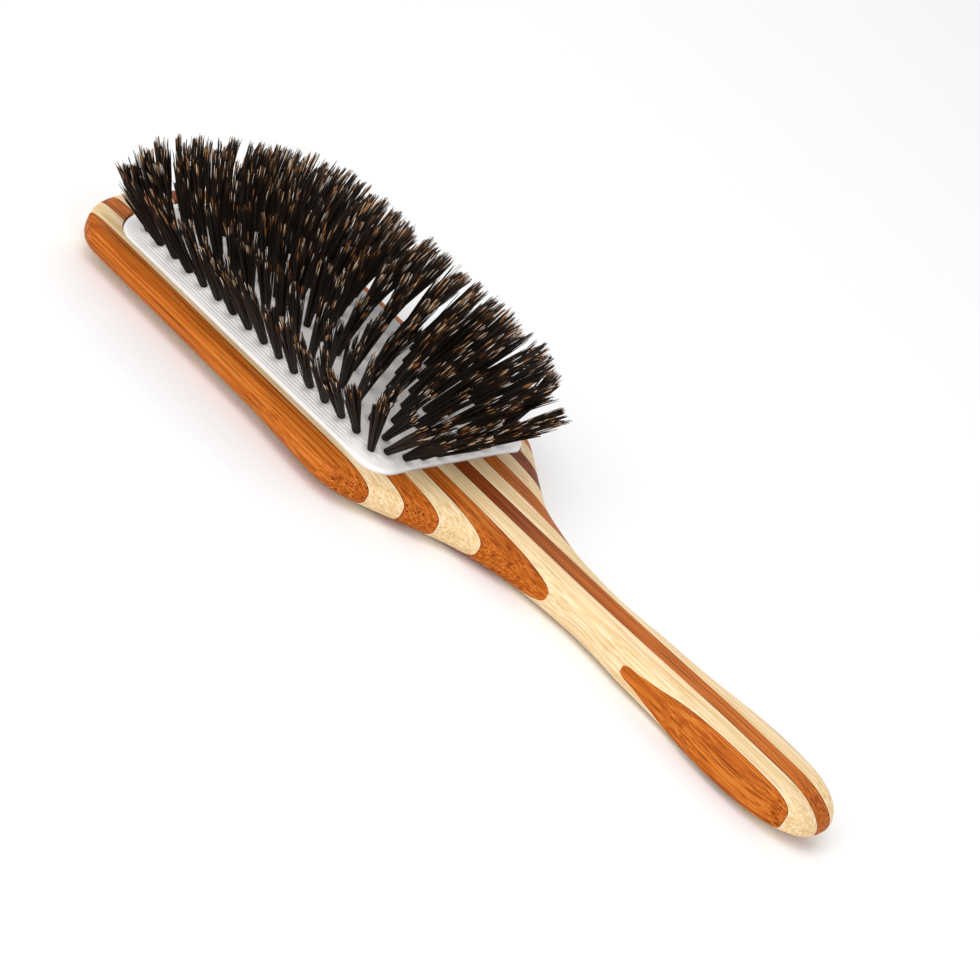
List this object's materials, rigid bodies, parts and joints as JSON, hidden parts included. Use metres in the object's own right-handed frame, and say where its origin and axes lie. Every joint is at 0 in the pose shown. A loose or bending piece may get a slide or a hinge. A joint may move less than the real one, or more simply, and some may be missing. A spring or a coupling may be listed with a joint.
{
  "type": "cushion paddle brush",
  "caption": "Wide flat hair brush in striped bamboo strips, with a domed rubber cushion and fanned tufts of natural bristle.",
  "frame": {"origin": "under the middle of the brush, in the plane of its flat back", "axes": "+X from the tip of the head to the end of the handle, +Y across the width, +Z from the back towards the bristle"},
  "size_m": [0.2412, 0.087, 0.0407],
  "materials": {
    "brown_bamboo": "satin lacquer over browned bamboo",
    "dark_bamboo": "satin lacquer over deeply browned bamboo",
    "pale_bamboo": "satin lacquer over natural bamboo",
    "pad_rubber": "finely ribbed, matt, off-white",
    "bristle": "dark boar bristle with pale split ends"
  },
  "bodies": {
    "handle": {"bamboo_strip_01": "brown_bamboo", "bamboo_strip_02": "pale_bamboo", "bamboo_strip_03": "brown_bamboo", "bamboo_strip_04": "pale_bamboo", "bamboo_strip_05": "brown_bamboo", "bamboo_strip_06": "pale_bamboo", "bamboo_strip_07": "dark_bamboo", "bamboo_strip_08": "pale_bamboo", "bamboo_strip_09": "brown_bamboo", "bamboo_strip_10": "pale_bamboo", "bamboo_strip_11": "dark_bamboo", "bamboo_strip_12": "pale_bamboo", "bamboo_strip_13": "brown_bamboo", "bamboo_strip_05_grip": "brown_bamboo", "bamboo_strip_09_grip": "brown_bamboo", "cushion_pad": "pad_rubber", "tufts_near_edge": "bristle", "tufts_far_edge": "bristle", "tufts_tip_edge": "bristle", "tufts_neck_edge": "bristle"},
    "cushion_crown": {"tufts_inner_1": "bristle", "tufts_inner_2": "bristle", "tufts_inner_3": "bristle", "tufts_inner_4": "bristle", "tufts_inner_5": "bristle", "tufts_inner_6": "bristle", "tufts_inner_7": "bristle"}
  },
  "joints": [
    {"name": "cushion_press", "type": "slide", "parent": "handle", "child": "cushion_crown", "axis": [0, 0, -1], "range_m": [0, 0.0025], "stiffness_N_per_m": 2500, "deforming": ["cushion_pad"]}
  ]
}
